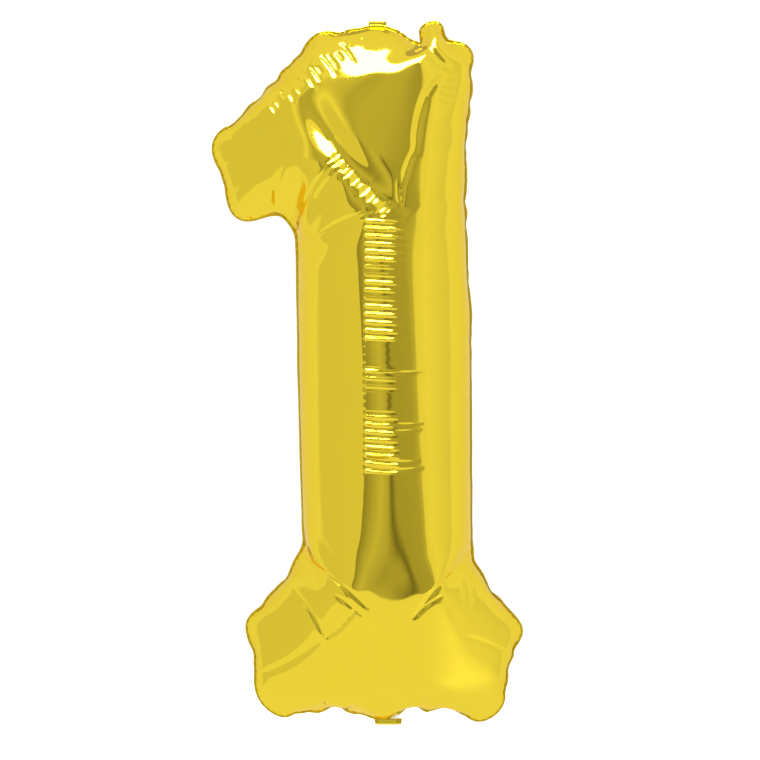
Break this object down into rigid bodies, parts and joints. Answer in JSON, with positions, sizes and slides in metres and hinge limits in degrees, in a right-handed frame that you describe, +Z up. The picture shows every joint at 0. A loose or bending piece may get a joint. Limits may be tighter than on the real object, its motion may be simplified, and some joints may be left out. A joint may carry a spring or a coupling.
{
  "type": "foil number balloon",
  "caption": "Inflated foil balloon shaped as the numeral one, with a heat-sealed rim, flat inner valve, filling tail and hanging tab.",
  "frame": {"origin": "middle of the hole in the hanging tab, on the tab's mid-plane, at the top of the balloon", "axes": "+Z up along the numeral's stem, the numeral faces -Y, +X to the viewer's right"},
  "size_m": [0.3854, 0.2072, 0.8628],
  "materials": {
    "foil_film": "mirror-bright gold metallised film",
    "sealed_foil": "gold metallised film with a fine sealing texture",
    "valve_film": "clear, slightly milky polyethylene film"
  },
  "bodies": {
    "envelope": {"front_panel": "foil_film", "back_panel": "foil_film", "perimeter_seal": "sealed_foil", "valve_front_film": "valve_film", "valve_back_film": "valve_film"},
    "flap": {"valve_flap": "valve_film"},
    "tail": {"tail_front_film": "foil_film", "tail_back_film": "foil_film", "inlet_front_film": "valve_film", "inlet_back_film": "valve_film"},
    "tab": {"hanging_tab": "sealed_foil"}
  },
  "joints": [
    {"name": "tail_fold", "type": "hinge", "parent": "envelope", "child": "tail", "pos_m": [0.013, -0.012, -0.861], "axis": [-1, 0, 0], "range_deg": [0, 180]},
    {"name": "tab_fold", "type": "hinge", "parent": "envelope", "child": "tab", "pos_m": [0, -0.012, 0], "axis": [1, 0, 0], "range_deg": [0, 180]},
    {"name": "flap_open", "type": "hinge", "parent": "envelope", "child": "flap", "pos_m": [0.013, -0.01235, -0.77835], "axis": [1, 0, 0], "range_deg": [0, 20]}
  ]
}
